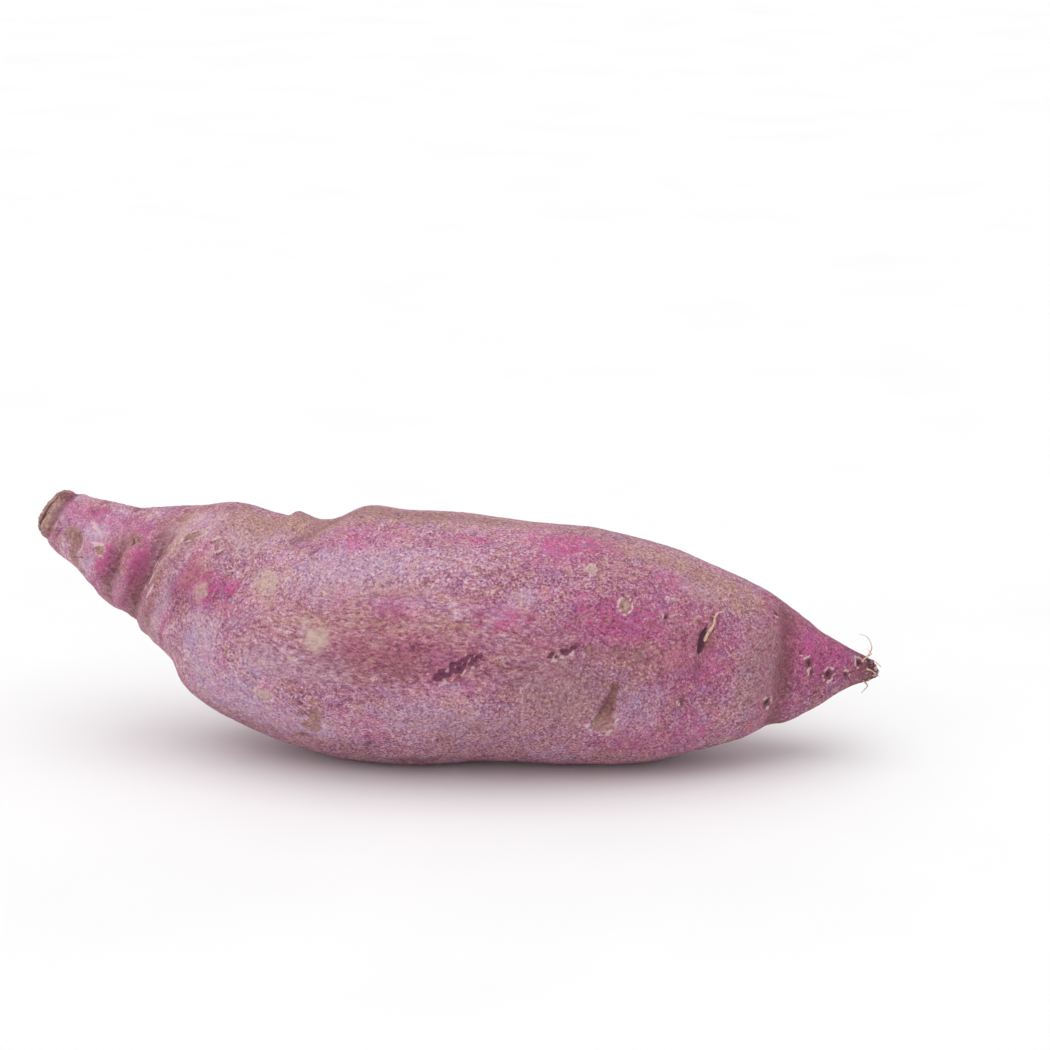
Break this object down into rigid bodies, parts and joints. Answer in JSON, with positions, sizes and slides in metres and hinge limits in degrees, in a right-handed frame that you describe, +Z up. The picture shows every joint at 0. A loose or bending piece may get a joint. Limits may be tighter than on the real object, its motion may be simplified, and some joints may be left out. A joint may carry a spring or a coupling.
{
  "type": "purple sweet potato",
  "caption": "Whole purple sweet potato storage root lying on its side, with a bent stalk neck, a thick body and a tapered root end.",
  "frame": {"origin": "on the table under the middle of the root's bounding box", "axes": "+X along the root from the stalk end to the root end, +Y away from the viewer towards the side the neck bends to, +Z up from the table it rests on"},
  "size_m": [0.1818, 0.0584, 0.0537],
  "materials": {
    "skin": "matte"
  },
  "bodies": {
    "root": {"sweet_potato": "skin"}
  },
  "joints": []
}
